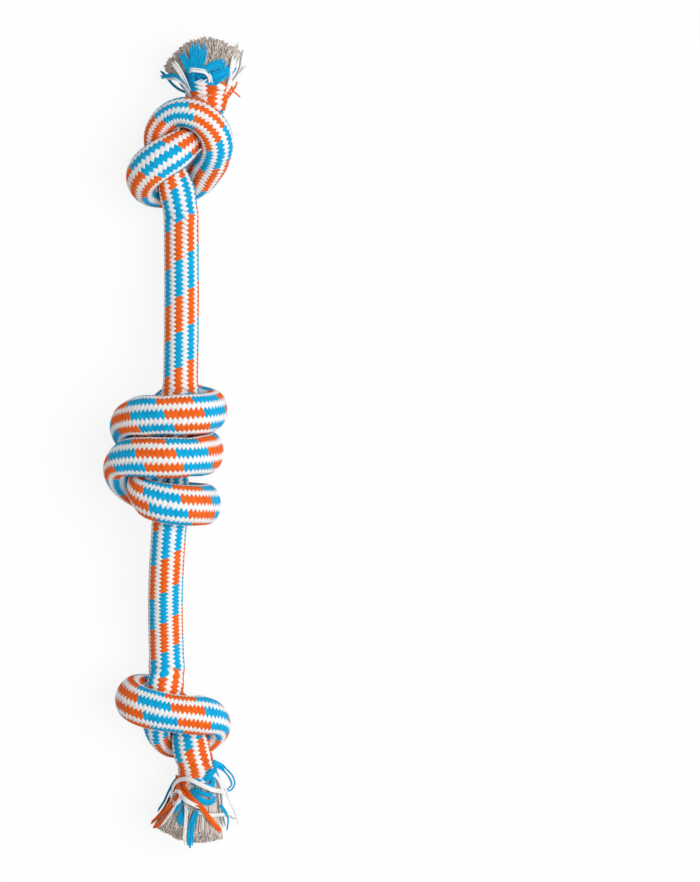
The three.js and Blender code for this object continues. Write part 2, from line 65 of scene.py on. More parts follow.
# The rope in its knots, as in the solids: the gap between turns, how flat a bend makes it, how taut it is
TURN_CLEARANCE = 0.77
FLATTENING = 0.17
FULL_FLATTENING_BEND = 0.75
MIDDLE_KNOT_PULL = 0.012
END_KNOT_PULL = 0.03
ROUTE_SPACING = 0.2

# Routes through the knots, in rope diameters: across, along, up, and how full the rope is
MIDDLE_KNOT = [
    [0.34, 2.4, 0, 1],
    [0.34, 2, 0, 1],
    [0.33, 1.6, 0.05, 1],
    [0.3, 1.2, 0.2, 0.92],
    [0.2, 0.8, 0.3, 0.82],
    [0, 0.3, 0.25, 0.82],
    [-0.36, -0.2, 0.1, 0.82],
    [-0.76, -0.57, 0, 0.86],
    [-0.98, -0.95, 0.45, 0.97],
    [-0.68, -1.16, 0.97, 1],
    [0, -1.28, 1.15, 1],
    [0.6, -1.34, 0.95, 1],
    [1.1, -1.3, 0.15, 1],
    [0.78, -1.17, -0.72, 1],
    [0, -1.08, -1.05, 1],
    [-0.7, -0.98, -1.05, 1],
    [-1.15, -0.85, -0.75, 1],
    [-1.42, -0.5, -0.35, 1],
    [-1.12, -0.05, 0.1, 1],
    [-0.95, 0.12, 0.62, 1],
    [0, 0.06, 1.15, 1],
    [0.9, 0.08, 0.8, 1],
    [1.28, 0.25, 0, 1],
    [0.9, 0.4, -0.8, 1],
    [0, 0.6, -1.15, 1],
    [-0.9, 0.75, -0.8, 1],
    [-1.16, 0.9, 0, 1],
    [-0.9, 1.1, 0.8, 1],
    [0, 1.23, 1.15, 1],
    [0.9, 1.25, 0.8, 1],
    [1.24, 1.35, 0, 1],
    [0.85, 1.5, -0.7, 1],
    [0.1, 1.55, -0.9, 1],
    [-0.45, 1.35, -0.7, 0.9],
    [-0.5, 0.9, -0.4, 0.82],
    [-0.25, 0.4, -0.45, 0.82],
    [0, -0.1, -0.45, 0.82],
    [0.1, -0.7, -0.25, 0.82],
    [0.08, -1.3, 0, 0.95],
    [0.03, -1.7, 0, 1],
    [0, -2.1, 0, 1],
    [-0.03, -2.5, 0, 1],
]
TOP_KNOT = [
    [0.06, -2.4, 0, 1],
    [0.06, -2, 0, 1],
    [0.03, -1.43, 0, 1],
    [-0.06, -0.86, 0, 0.92],
    [-0.23, -0.34, -0.1, 0.82],
    [-0.49, 0.14, -0.15, 0.88],
    [-0.58, 0.6, 0, 1],
    [-0.28, 1, 0.2, 1],
    [0.23, 1.11, 0.45, 1],
    [0.68, 0.86, 0.6, 1],
    [0.88, 0.23, 0.5, 0.97],
    [0.8, -0.43, -0.1, 0.97],
    [0.45, -0.94, -0.7, 1],
    [0, -1.11, -1, 1],
    [-0.57, -1.14, -0.75, 1],
    [-1.12, -0.86, 0, 1],
    [-0.95, -0.49, 0.7, 1],
    [-0.43, -0.2, 1, 1],
    [0.11, 0.06, 0.75, 0.95],
    [0.36, 0.3, 0, 0.82],
    [0.54, 0.65, -0.5, 0.8],
    [0.68, 1, -0.55, 0.85],
    [0.76, 1.3, -0.42, 0.95],
    [0.79, 1.55, -0.35, 1],
    [0.81, 1.85, -0.28, 1],
]
BOTTOM_KNOT = [
    [-0.12, 1.75, 0, 1],
    [-0.11, 1.3, 0, 1],
    [-0.12, 0.8, 0.05, 1],
    [-0.2, 0.3, 0.1, 0.86],
    [-0.28, -0.2, 0.05, 0.82],
    [-0.25, -0.7, -0.25, 0.9],
    [0, -0.95, -0.65, 1],
    [0.45, -0.93, -0.9, 1],
    [0.85, -0.72, -0.6, 0.96],
    [1, -0.4, 0, 0.92],
    [0.85, -0.17, 0.7, 0.97],
    [0.4, -0.06, 1.05, 1],
    [0, -0.02, 1.1, 1],
    [-0.5, 0.05, 1, 1],
    [-0.88, 0.18, 0.62, 1],
    [-1, 0.36, 0, 1],
    [-0.8, 0.53, -0.6, 1],
    [-0.3, 0.65, -0.95, 1],
    [0.15, 0.5, -0.8, 0.88],
    [0.32, 0.1, -0.35, 0.78],
    [0.36, -0.35, -0.05, 0.74],
    [0.54, -0.8, 0.1, 0.92],
    [0.68, -1.3, 0.05, 1],
    [0.74, -1.62, 0, 1],
    [0.8, -1.95, 0, 1],
]

# The braid: white strands wind one way and coloured ones the other, each over two and under two
STRANDS_EACH_WAY = 16
BLUE_STRANDS = 8
STITCH = 2.9
LAY = STRANDS_EACH_WAY * STITCH
RINGS_PER_STITCH = 32
ROUTE_STEP = STITCH / 8
STEP = STITCH / RINGS_PER_STITCH
BRAID_RADIUS = 9.8
BRAID_RISE = 0.5
WHITE_WIDTH = 2.32
COLOURED_WIDTH = 3.0
STRAND_THICKNESS = 1.35
STRAND_PROFILE = [
    (-0.93, -1), (-1, 0.2), (-0.96, 0.8), (-0.75, 1), (0.75, 1), (0.96, 0.8), (1, 0.2), (0.93, -1),
]
# A strand's wave over two strands and under two. Coloured strands stay on top a little longer than white
# ones: the lead is a cosine of the wave. How long a dive is and where a strand has rings are degrees of it.
COLOURED_LEAD = 0.12
DIVE = 15
DRAWN_RINGS = (0, 61, 99, 180, 255, 293)
# How far towards a bend's outside the braid keeps its length, and how the cover opens at the tassels
OUTSIDE_SHARE = 0.75
TOP_FLARE = 0.95
BOTTOM_FLARE = 0.4
NECK_LENGTH = 30
COVER_SPARE = 8
COLUMNS = STRANDS_EACH_WAY // 2
COLUMN_ARC = 2 * math.pi / STRANDS_EACH_WAY * BRAID_RADIUS
# Along the rope, counted in stitches: how far the columns are turned and the colours shifted, in degrees
COLUMN_TURNS = [
    (0, 14), (25, -1), (40, -1), (77, -24), (86, -10), (97, -39), (106, -56), (130, -77), (140, -71),
    (172, -73), (218, -67), (232, -67), (285, -48), (305, -48), (370, -29), (388, -29), (455, -18),
    (490, -19), (545, -37), (565, -37), (603, -56), (640, -56),
]
COLOUR_SHIFTS = [
    (0, 60), (22, 18), (44, -88), (77, -121), (86, -110), (97, -135), (106, -168), (130, -184), (147, -227),
    (163, -222), (173, -212), (217, -262), (230, -296), (288, -295), (302, -324), (372, -329), (386, -354),
    (455, -267), (468, -253), (478, -208), (484, -190), (492, -212), (545, -272), (562, -263), (603, -436),
    (640, -436),
]
# The core: a bundle of yarns, ridged where they lie side by side
CORE_RADIUS = 7.2
CORE_RIDGE = 0.35
CORE_SIDES = 18
CORE_TONE = 0.3


def camera_above():
    data = bpy.data.cameras.new("camera")
    data.sensor_width = SENSOR
    data.lens = SENSOR * (CAMERA_HEIGHT - SHARP_HEIGHT) / (PHOTO_HEIGHT * MM_PER_PIXEL)
    data.clip_end = FARTHEST_METRES
    camera = bpy.data.objects.new("camera", data)
    camera.location = (PHOTO_MIDDLE[0] / METRE, PHOTO_MIDDLE[1] / METRE, CAMERA_HEIGHT / METRE)
    bpy.context.scene.collection.objects.link(camera)
    bpy.context.scene.camera = camera


camera_above()


# Routes: a smooth curve through the chosen points, and the knot drawn up until its turns lie side by side


def lengths_along(route):
    steps = np.linalg.norm(np.diff(route[:, :3], axis=0), axis=1)
    return np.concatenate([[0], np.cumsum(steps)])


def space_evenly(route, count):
    lengths = lengths_along(route)
    places = np.linspace(0, lengths[-1], count)
    return np.stack([np.interp(places, lengths, column) for column in route.T], 1)


def smooth_route(points, step):
    STEPS_BETWEEN = 24
    points = np.asarray(points, float)
    ends = np.vstack([2 * points[0] - points[1], points, 2 * points[-1] - points[-2]])
    t = np.linspace(0, 1, STEPS_BETWEEN, endpoint=False)[:, None]
    fine = []
    for a, b, c, d in zip(ends, ends[1:], ends[2:], ends[3:]):
        bend = (2 * a - 5 * b + 4 * c - d) * t**2 + (3 * b - a - 3 * c + d) * t**3
        fine.append(0.5 * (2 * b + (c - a) * t + bend))
    fine = np.vstack([*fine, points[-1:]])
    return space_evenly(fine, round(lengths_along(fine)[-1] / step) + 1)


def softened(rows, passes):
    for _ in range(passes):
        rows = rows.copy()
        rows[1:-1] = (rows[:-2] + 2 * rows[1:-1] + rows[2:]) / 4
    return rows


def bends_of(route, passes):
    """The bend at each place of a route: towards its inside, one over the radius long."""
    bends = np.zeros((len(route), 3))
    spacing = lengths_along(route)[-1] / (len(route) - 1)
    bends[1:-1] = (route[:-2, :3] - 2 * route[1:-1, :3] + route[2:, :3]) / spacing**2
    return softened(bends, passes)


def flattenings(route):
    """Where the rope bends it flattens: towards the bend's inside, by the share that is the length."""
    SOFTENING = 3
    bends = bends_of(route, SOFTENING)
    bends[:2] = 0
    bends[-2:] = 0
    size = np.linalg.norm(bends, axis=1, keepdims=True)
    share = FLATTENING * np.minimum(1, size / FULL_FLATTENING_BEND) ** 2
    return share * bends / np.maximum(size, 1e-9)


def settle(route, firm_pull):
    """Draws a knot up: turns that overlap push each other apart, and a pull along the rope straightens it."""
    ROUNDS = 300
    HELD = 4
    NEIGHBOUR_LENGTH = 1.7
    NEAR = 1.5
    PUSH_SHARE = 0.5
    PULL_EASED = 0.7
    count = len(route)
    fullness = route[:, 3].copy()
    free = np.ones((count, 1))
    free[:HELD] = 0
    free[-HELD:] = 0
    first, second = np.triu_indices(count, 1)
    for turn in range(ROUNDS):
        places = route[:, :3]
        lengths = lengths_along(route)
        flats = flattenings(route)
        share = np.linalg.norm(flats, axis=1)
        towards = flats / np.maximum(share, 1e-9)[:, None]
        apart = places[second] - places[first]
        distance = np.linalg.norm(apart, axis=1)
        near = (lengths[second] - lengths[first] > NEIGHBOUR_LENGTH) & (distance < NEAR)
        i, j = first[near], second[near]
        direction = apart[near] / distance[near][:, None]

        def reach(k):
            inward = (towards[k] * direction).sum(1) ** 2
            width = (1 - share[k]) ** 2 * inward + (1 + share[k]) ** 2 * (1 - inward)
            return 0.5 * fullness[k] * np.sqrt(width)

        push = reach(i) + reach(j) + TURN_CLEARANCE / ROPE_DIAMETER - distance[near]
        push = np.maximum(0, push)[:, None] * direction / 2
        touching = (np.abs(push).sum(1) > 0).astype(float)
        moves = np.zeros_like(places)
        hits = np.zeros(count)
        for k, way in ((i, -1), (j, 1)):
            np.add.at(moves, k, way * push)
            np.add.at(hits, k, touching)
        straighten = np.zeros_like(places)
        straighten[1:-1] = places[:-2] - 2 * places[1:-1] + places[2:]
        pull = firm_pull * (1 - PULL_EASED * turn / ROUNDS)
        moves = PUSH_SHARE * moves / np.sqrt(np.maximum(1, hits))[:, None] + pull * straighten
        moved = np.column_stack([places + free * moves, fullness])
        route = space_evenly(moved, count)
        route[:, 3] = fullness
    return route


def knot_route(points, start, firm_pull):
    """A drawn-up knot in millimetres, its first point at start, with its flattening and fullness."""
    route = settle(smooth_route(points, ROUTE_SPACING), firm_pull)
    rows = np.column_stack([route, flattenings(route)])
    rows[:, :3] = (rows[:, :3] - points[0][:3]) * ROPE_DIAMETER + start
    return rows


def span_route(places):
    """A plain span of rope from one knot's end to the next, without those ends."""
    route = smooth_route(np.array(places), ROUTE_SPACING * ROPE_DIAMETER)[1:-1]
    return np.column_stack([route, np.ones(len(route)), np.zeros((len(route), 3))])


def neck_share(flare, from_end):
    """How much wider the cover is near its end, where it opens into the tassel."""
    return 1 + flare * np.clip(1 - from_end / NECK_LENGTH, 0, 1) ** 2


def carried_on(end, before):
    """A row that carries the rope straight on past its end, inside the tassel."""
    row = end + (end - before) * COVER_SPARE / np.linalg.norm((end - before)[:3])
    row[3:] = end[3:]
    return row


def whole_rope():
    """The rope's middle line from end to end, with its fullness and flattening."""
    LAP = 3
    SOFTENINGS = 12
    top = knot_route(TOP_KNOT, JOINTS["upper_bend_4"], END_KNOT_PULL)[::-1]
    upper = span_route([JOINTS[f"upper_bend_{k}"] for k in (4, 3, 2, 1)])
    middle = knot_route(MIDDLE_KNOT, JOINTS["upper_bend_1"], MIDDLE_KNOT_PULL)
    lower = span_route([JOINTS[f"lower_bend_{k}"] for k in (1, 2, 3, 4)])
    bottom = knot_route(BOTTOM_KNOT, JOINTS["lower_bend_4"], END_KNOT_PULL)
    parts = [top, upper, middle, lower, bottom]
    rope = np.vstack(parts)
    ends = np.cumsum([len(part) for part in parts])
    loose = np.zeros((len(rope), 1))
    for begin, end in ((ends[0], ends[1]), (ends[2], ends[3])):
        loose[begin - LAP : end + LAP] = 1
    for _ in range(SOFTENINGS):
        rope[:, :3] += loose * (softened(rope[:, :3], 1) - rope[:, :3])
    first = carried_on(rope[0], rope[1])
    last = carried_on(rope[-1], rope[-2])
    rope = smooth_route(np.vstack([first, rope, last]), ROUTE_STEP)
    lengths = lengths_along(rope)
    rope[:, 3] *= neck_share(TOP_FLARE, lengths) * neck_share(BOTTOM_FLARE, lengths[-1] - lengths)
    return rope


def rings_along(rope):
    """The rope's rows at even steps of the braid, which keeps its length nearer a bend's outside."""
    SOFTENING = 40
    bends = bends_of(rope, SOFTENING)
    tightness = np.linalg.norm(bends, axis=1) * ROPE_DIAMETER / 2
    braid = np.concatenate([[0], np.cumsum(1 + OUTSIDE_SHARE * tightness[1:]) * ROUTE_STEP])
    places = np.arange(ROUTE_STEP, braid[-1], STEP)
    rows = np.column_stack([rope, bends])
    return np.stack([np.interp(places, braid, column) for column in rows.T], 1), places


ROPE, ALONG = rings_along(whole_rope())
MIDDLES = ROPE[:, :3]
FULLNESS = ROPE[:, 3]
FLATS = ROPE[:, 4:7]
BENDS = ROPE[:, 7:10]


def place_on_rope(name):
    """The index of the ring on the rope nearest to a joint."""
    return int(np.argmin(np.linalg.norm(MIDDLES - JOINTS[name], axis=1)))


def unit(rows):
    return rows / np.maximum(np.linalg.norm(rows, axis=-1, keepdims=True), 1e-12)


def rope_frames():
    """Two directions across the rope at each ring, carried along it without twist."""
    along = unit(np.gradient(MIDDLES, axis=0))
    across = np.zeros_like(along)
    start = np.array([1.0, 0, 0])
    for k, direction in enumerate(along):
        start = start - start.dot(direction) * direction
        start = start / np.linalg.norm(start)
        across[k] = start
    return along, across, np.cross(along, across)


ROPE_ALONG, ROPE_ACROSS, ROPE_SIDE = rope_frames()


def section(spokes):
    """Points across the rope, squeezed and flattened as the rope is there, and the direction out of it."""
    share = np.linalg.norm(FLATS, axis=1, keepdims=True)
    towards = FLATS / np.maximum(share, 1e-9)
    inward = (spokes * towards).sum(1, keepdims=True)
    squeezed = FULLNESS[:, None] * ((1 + share) * spokes - 2 * share * inward * towards)
    out = spokes / (1 + share) + (1 / (1 - share) - 1 / (1 + share)) * inward * towards
    return squeezed, unit(out)


def pressed(points):
    """Rope that would dip below the ground is pressed flat on it."""
    SOFT_HEIGHT = 2
    points = points.copy()
    low = points[..., 2] < SOFT_HEIGHT
    points[low, 2] = SOFT_HEIGHT * np.exp((points[low, 2] - SOFT_HEIGHT) / SOFT_HEIGHT)
    return points


def round_profile(sides):
    angles = math.pi + 2 * math.pi * np.arange(sides) / sides
    return np.column_stack([np.sin(angles), np.cos(angles)])


def tube(middles, out, along, width, thickness, profile, slant=None):
    """Rings of a tube: rows, sides, three. The profile goes across and out; its seam lies on the inside.
    With a slant the rings lie along it, not square across the tube."""
    LEAST_ACROSS = 0.3
    profile = np.asarray(profile)
    out = unit(out - (out * along).sum(1, keepdims=True) * along)
    beside = np.cross(along, out)
    if slant is not None:
        across = (slant * beside).sum(1, keepdims=True)
        forward = (slant * along).sum(1, keepdims=True)
        steep = forward / np.where(across < 0, -1, 1) / np.maximum(np.abs(across), LEAST_ACROSS)
        beside = beside + np.clip(steep, -1, 1) * along
    wide = 0.5 * np.multiply.outer(np.broadcast_to(width, len(middles)), profile[:, 0])
    high = 0.5 * np.multiply.outer(np.broadcast_to(thickness, len(middles)), profile[:, 1])
    return middles[:, None] + high[..., None] * out[:, None] + wide[..., None] * beside[:, None]


def table_along(table):
    """Degrees at chosen stitches, carried smoothly between them, as radians at every ring."""
    SMOOTHED_STITCHES = 6
    stitches, degrees = np.array(table, float).T
    values = np.interp(ALONG / STITCH, stitches, degrees)
    reach = SMOOTHED_STITCHES * RINGS_PER_STITCH
    kernel = np.hanning(2 * reach + 1)
    padded = np.pad(values, reach, mode="edge")
    return np.radians(np.convolve(padded, kernel / kernel.sum(), "valid"))


COLUMN_TURN = table_along(COLUMN_TURNS)
COLOUR_SHIFT = table_along(COLOUR_SHIFTS)


def strand(number, coloured):
    """One strand of the braid along the whole rope, over and under the strands that cross it: the rings it
    may be drawn with, and which of them are needed."""
    LEAST_STRETCH = 0.2
    spacing = 2 * math.pi / STRANDS_EACH_WAY
    turn = 2 * math.pi * ALONG / LAY
    if coloured:
        angle = COLOUR_SHIFT + number * spacing + turn
    else:
        angle = spacing / 2 - COLOUR_SHIFT + number * spacing - turn
    wave = COLUMNS * angle
    lift = np.clip((np.cos(wave) - COLOURED_LEAD) / math.sin(math.radians(DIVE)), -1, 1)
    lift = -lift if coloured else lift
    angle = angle + COLUMN_TURN
    spokes = np.cos(angle)[:, None] * ROPE_ACROSS + np.sin(angle)[:, None] * ROPE_SIDE
    offset, out = section(BRAID_RADIUS * spokes)
    middles = MIDDLES + offset * (1 + BRAID_RISE / BRAID_RADIUS * lift[:, None])
    stretch = np.maximum(LEAST_STRETCH, 1 - (BENDS * offset).sum(1))
    pitch = STITCH * stretch
    room = pitch * COLUMN_ARC / np.hypot(pitch, COLUMN_ARC)
    plain = STITCH * COLUMN_ARC / math.hypot(STITCH, COLUMN_ARC)
    width = (COLOURED_WIDTH if coloured else WHITE_WIDTH) * room / plain * FULLNESS
    thickness = STRAND_THICKNESS * np.minimum(1, FULLNESS)
    along = unit(np.gradient(MIDDLES + offset, axis=0))
    round_rope = unit(np.cross(ROPE_ALONG, out))
    crossing = along - 2 * (along * round_rope).sum(1, keepdims=True) * round_rope
    turns = (wave[:, None] - np.radians(DRAWN_RINGS)) / (2 * math.pi)
    needed = np.flatnonzero(np.diff(np.floor(turns), axis=0).any(1))
    return tube(middles, out, along, width, thickness, STRAND_PROFILE, crossing), needed


BRAID = [(0, *strand(k, False)) for k in range(STRANDS_EACH_WAY)]
BRAID += [(1 if k < BLUE_STRANDS else 2, *strand(k, True)) for k in range(STRANDS_EACH_WAY)]


def core_rings():
    """The bundle of core yarns inside the braid."""
    rings = []
    for k, (across, side) in enumerate(round_profile(CORE_SIDES)):
        radius = CORE_RADIUS + CORE_RIDGE * (-1) ** k
        spokes = side * ROPE_ACROSS + across * ROPE_SIDE
        rings.append(MIDDLES + section(radius * spokes)[0])
    return np.stack(rings, 1)


CORE = core_rings()


# Materials


def linear(colour):
    """A colour written as sRGB hex, as the shaders take it."""
    parts = [int(colour[k : k + 2], 16) / 255 for k in (1, 3, 5)]
    return (*[c / 12.92 if c <= 0.04045 else ((c + 0.055) / 1.055) ** 2.4 for c in parts], 1)


def add_node(tree, kind, settings=None, inputs=None):
    """Adds a node. Inputs are values, or the sockets that feed them."""
    node = tree.nodes.new(kind)
    for name, value in (settings or {}).items():
        setattr(node, name, value)
    for name, value in (inputs or {}).items():
        if isinstance(value, bpy.types.NodeSocket):
            tree.links.new(value, node.inputs[name])
        else:
            node.inputs[name].default_value = value
    return node


def cotton(name, light, dark, tone_share, sheen):
    """Soft cotton yarn, spun and dyed: quite matt, with streaks of fibre along each yarn that differ a little
    in tone, round ridges where its plies lie side by side with painted shade in the grooves between them,
    and a pale bloom of loose fibre at its edges. The streaks are drawn far coarser than cotton's fibres,
    so that they show."""
    STREAK_MM = 0.9
    STREAK_LENGTH_MM = 7
    TONE_APART = 40
    PLY_MM = 0.74
    PLY_TURN_MM = 14
    PLAIN_RIDGE = 0.5
    GROOVE_SHADE = 0.3
    STREAK_RELIEF = 0.4
    RELIEF = {"Strength": 0.45, "Distance": 0.2 / METRE}
    DARKEST_AT = 0.3
    LIGHTEST_AT = 0.7
    material = bpy.data.materials.new(name)
    material.use_nodes = True
    tree = material.node_tree
    shader = tree.nodes["Principled BSDF"]

    def figure(operation, *values):
        node = add_node(tree, "ShaderNodeMath", {"operation": operation}, dict(enumerate(values)))
        return node.outputs[0]

    place = add_node(tree, "ShaderNodeAttribute", {"attribute_name": "yarn_place"}).outputs["Vector"]
    stretched = add_node(
        tree,
        "ShaderNodeMapping",
        inputs={"Vector": place, "Scale": (1 / STREAK_MM, 1 / STREAK_LENGTH_MM, TONE_APART)},
    )
    fibres = add_node(
        tree,
        "ShaderNodeTexNoise",
        inputs={"Vector": stretched.outputs["Vector"], "Scale": 1.0, "Detail": 3.0, "Roughness": 0.6},
    ).outputs["Fac"]
    phase = add_node(
        tree,
        "ShaderNodeVectorMath",
        {"operation": "DOT_PRODUCT"},
        {0: place, 1: (math.pi / PLY_MM, math.pi / PLY_TURN_MM, 0)},
    ).outputs["Value"]
    ridge = figure("ABSOLUTE", figure("SINE", phase))
    tone = add_node(tree, "ShaderNodeSeparateXYZ", inputs={"Vector": place}).outputs["Z"]
    mixed = figure("MULTIPLY_ADD", tone, tone_share, figure("MULTIPLY", fibres, 1 - tone_share))
    # Painted shade: the colour moves towards the dark one in the grooves between plies and towards the light
    # one on their ridges, while tone and fibre streaks vary it at random
    shaded = figure("MULTIPLY_ADD", figure("SUBTRACT", ridge, PLAIN_RIDGE), GROOVE_SHADE, mixed)
    ramp = add_node(tree, "ShaderNodeValToRGB", inputs={"Fac": shaded})
    ramp.color_ramp.elements[0].position = DARKEST_AT
    ramp.color_ramp.elements[0].color = linear(dark)
    ramp.color_ramp.elements[1].position = LIGHTEST_AT
    ramp.color_ramp.elements[1].color = linear(light)
    height = figure("MULTIPLY_ADD", fibres, STREAK_RELIEF, ridge)
    bump = add_node(tree, "ShaderNodeBump", inputs={"Height": height, **RELIEF})
    tree.links.new(ramp.outputs["Color"], shader.inputs["Base Color"])
    tree.links.new(bump.outputs["Normal"], shader.inputs["Normal"])
    shader.inputs["Roughness"].default_value = 0.9
    shader.inputs["Specular IOR Level"].default_value = 0.2
    shader.inputs["Sheen Weight"].default_value = sheen
    shader.inputs["Sheen Roughness"].default_value = 0.5
    return material


WHITE = cotton("white_cotton_yarn", "#FBFBFA", "#EAE9E8", 0.12, 0.05)
BLUE = cotton("blue_cotton_yarn", "#00B6E8", "#0094CC", 0.12, 0.03)
ORANGE = cotton("orange_cotton_yarn", "#F87020", "#E2560E", 0.12, 0.03)
GREY = cotton("undyed_grey_core_yarn", "#EFE3DA", "#B6A8A0", 0.45, 0.05)
COVER_MATERIALS = [WHITE, BLUE, ORANGE]


# Meshes


def new_piece(name, tubes, materials):
    """One object made of closed tubes: each its rings in mm, its place along the yarn, a tone, a material.
    Every point keeps its place on the yarn: mm round it, mm along it and the tone."""
    points, places, corners, starts, slots, smooth = [], [], [], [], [], []
    first = 0
    corner = 0
    for rings, begin, tone, slot in tubes:
        rows, sides = rings.shape[:2]
        points.append(pressed(rings).reshape(-1, 3))
        lengths = begin + lengths_along(rings.mean(1))
        place = np.zeros((rows, sides, 3))
        steps_round = np.linalg.norm(np.diff(rings, axis=1), axis=2).mean(0)
        place[..., 0] = np.r_[0, np.cumsum(steps_round)]
        place[..., 1] = lengths[:, None]
        place[..., 2] = tone
        places.append(place.reshape(-1, 3))
        grid = first + np.arange(rows * sides).reshape(rows, sides)
        beside = np.roll(grid, -1, axis=1)
        quads = np.stack([grid[:-1], beside[:-1], beside[1:], grid[1:]], -1).reshape(-1, 4)
        corners += [quads.ravel(), grid[0][::-1], grid[-1]]
        count = len(quads)
        starts.append(corner + 4 * np.arange(count))
        starts.append(corner + 4 * count + sides * np.arange(2))
        corner += 4 * count + 2 * sides
        slots.append(np.full(count + 2, slot))
        smooth.append(np.r_[np.ones(count, bool), np.zeros(2, bool)])
        first += rows * sides
    mesh = bpy.data.meshes.new(name)
    starts = np.concatenate(starts)
    mesh.vertices.add(first)
    mesh.loops.add(corner)
    mesh.polygons.add(len(starts))
    mesh.vertices.foreach_set("co", (np.concatenate(points) / METRE).astype(np.float32).ravel())
    mesh.loops.foreach_set("vertex_index", np.concatenate(corners).astype(np.int32))
    mesh.polygons.foreach_set("loop_start", starts.astype(np.int32))
    mesh.polygons.foreach_set("material_index", np.concatenate(slots).astype(np.int32))
    mesh.polygons.foreach_set("use_smooth", np.concatenate(smooth))
    attribute = mesh.attributes.new("yarn_place", "FLOAT_VECTOR", "POINT")
    attribute.data.foreach_set("vector", np.concatenate(places).astype(np.float32).ravel())
    mesh.update(calc_edges=True)
    mesh.validate()
    for material in materials:
        mesh.materials.append(material)
    piece = bpy.data.objects.new(name, mesh)
    bpy.context.scene.collection.objects.link(piece)
    return piece


def strand_tone(number):
    """A tone from 0 to 1 that differs from strand to strand."""
    TONE_STEP = 0.618
    return (number * TONE_STEP) % 1


def strand_tube(number, begin, end):
    """A strand from one ring to another, with the rings it needs between."""
    RINGS_CLEAR = 3
    slot, rings, needed = BRAID[number]
    inside = needed[(needed > begin + RINGS_CLEAR) & (needed < end - RINGS_CLEAR)]
    return rings[[begin, *inside, end]], ALONG[begin], strand_tone(number), slot


def braid_piece(name, begin, end, strands=range(len(BRAID))):
    tubes = [strand_tube(number, begin, end) for number in strands]
    return new_piece(name, tubes, COVER_MATERIALS)


def stitch_places(begin, end):
    return [*range(begin, end, RINGS_PER_STITCH), end]


def core_piece(name, begin, end):
    tubes = [(CORE[stitch_places(begin, end)], ALONG[begin], CORE_TONE, 0)]
    return new_piece(name, tubes, [GREY])


# How far a span's end piece reaches into a knot, in mm and in rings, and how many of a span's links have
# solids that its pieces replace
STUB_LENGTH = 14
STUB = round(STUB_LENGTH / STEP)
LINKS = 3


def bend_between(piece):
    """Bakes the piece's placement into its mesh."""
    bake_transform(piece)


def dress_knot(name, begin, end, parts):
    """A knot's braid, in pieces of some of its strands, and its core: together a length of rope."""
    covers = []
    for k in range(parts):
        strands = range(k, len(BRAID), parts)
        covers.append(braid_piece(f"{name}_knot_braid_{k + 1}", begin, end, strands))
        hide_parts(f"{name}_knot_cover")
    core = core_piece(f"{name}_knot_core_yarns", begin, end)
    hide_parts(f"{name}_knot_core")
    for piece in [*covers, core]:
        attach(piece, f"{name}_knot")


def dress_span(name, order, bodies):
    """A span's braid and core, in a piece for each bend, from the middle of one link to the next one's."""
    places = [place_on_rope(f"{name}_bend_{k}") for k in order]
    cuts = [places[0] - STUB]
    cuts += [(a + b) // 2 for a, b in zip(places, places[1:])]
    cuts += [places[-1] + STUB]
    for k, begin, end, before, after in zip(order, cuts, cuts[1:], bodies, bodies[1:]):
        braid = braid_piece(f"{name}_rope_braid_{k}", begin, end)
        core = core_piece(f"{name}_rope_core_yarns_{k}", begin, end)
        for piece in (braid, core):
            bend_between(piece)
        if k <= LINKS:
            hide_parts(f"{name}_rope_cover_{k}")
            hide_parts(f"{name}_rope_core_{k}")
    return cuts[0], cuts[-1]


upper_bodies = ["top_knot", "upper_rope_3", "upper_rope_2", "upper_rope_1", "middle_knot"]
lower_bodies = ["middle_knot", "lower_rope_1", "lower_rope_2", "lower_rope_3", "bottom_knot"]
upper_begin, upper_end = dress_span("upper", (4, 3, 2, 1), upper_bodies)
lower_begin, lower_end = dress_span("lower", (1, 2, 3, 4), lower_bodies)
neck_begin = place_on_rope("top_tassel_swing") + STUB
neck_end = place_on_rope("bottom_tassel_swing") - STUB
dress_knot("top", neck_begin, upper_begin, 2)
dress_knot("middle", upper_end, lower_begin, 3)
dress_knot("bottom", lower_end, neck_end, 2)


# Tassels: which way each points, how long and wide it is, the dome of its cut ends, and where its cover ends


TASSELS = {
    "top": {
        "lean": -11, "way": 1, "length": 31, "radius": 25.5, "flare": TOP_FLARE, "flank": 0.5,
        "dome": 0.45, "tilt": 0.2, "fray": 3, "fray_slope": -0.42, "seed": 5,
    },
    "bottom": {
        "lean": -11, "way": -1, "length": 39.5, "radius": 22.5, "flare": BOTTOM_FLARE, "flank": 0.8,
        "dome": 0.16, "tilt": 0.08, "fray": 0, "fray_slope": -0.35, "seed": 9,
    },
}
CORE_YARNS = 1500
CORE_YARN_DIAMETER = 1.0
PLY_DIAMETER = 0.95
UNDER_END_WIDTH = 2.4
YARN_STARTS = 500
ANY_PHASE = 6

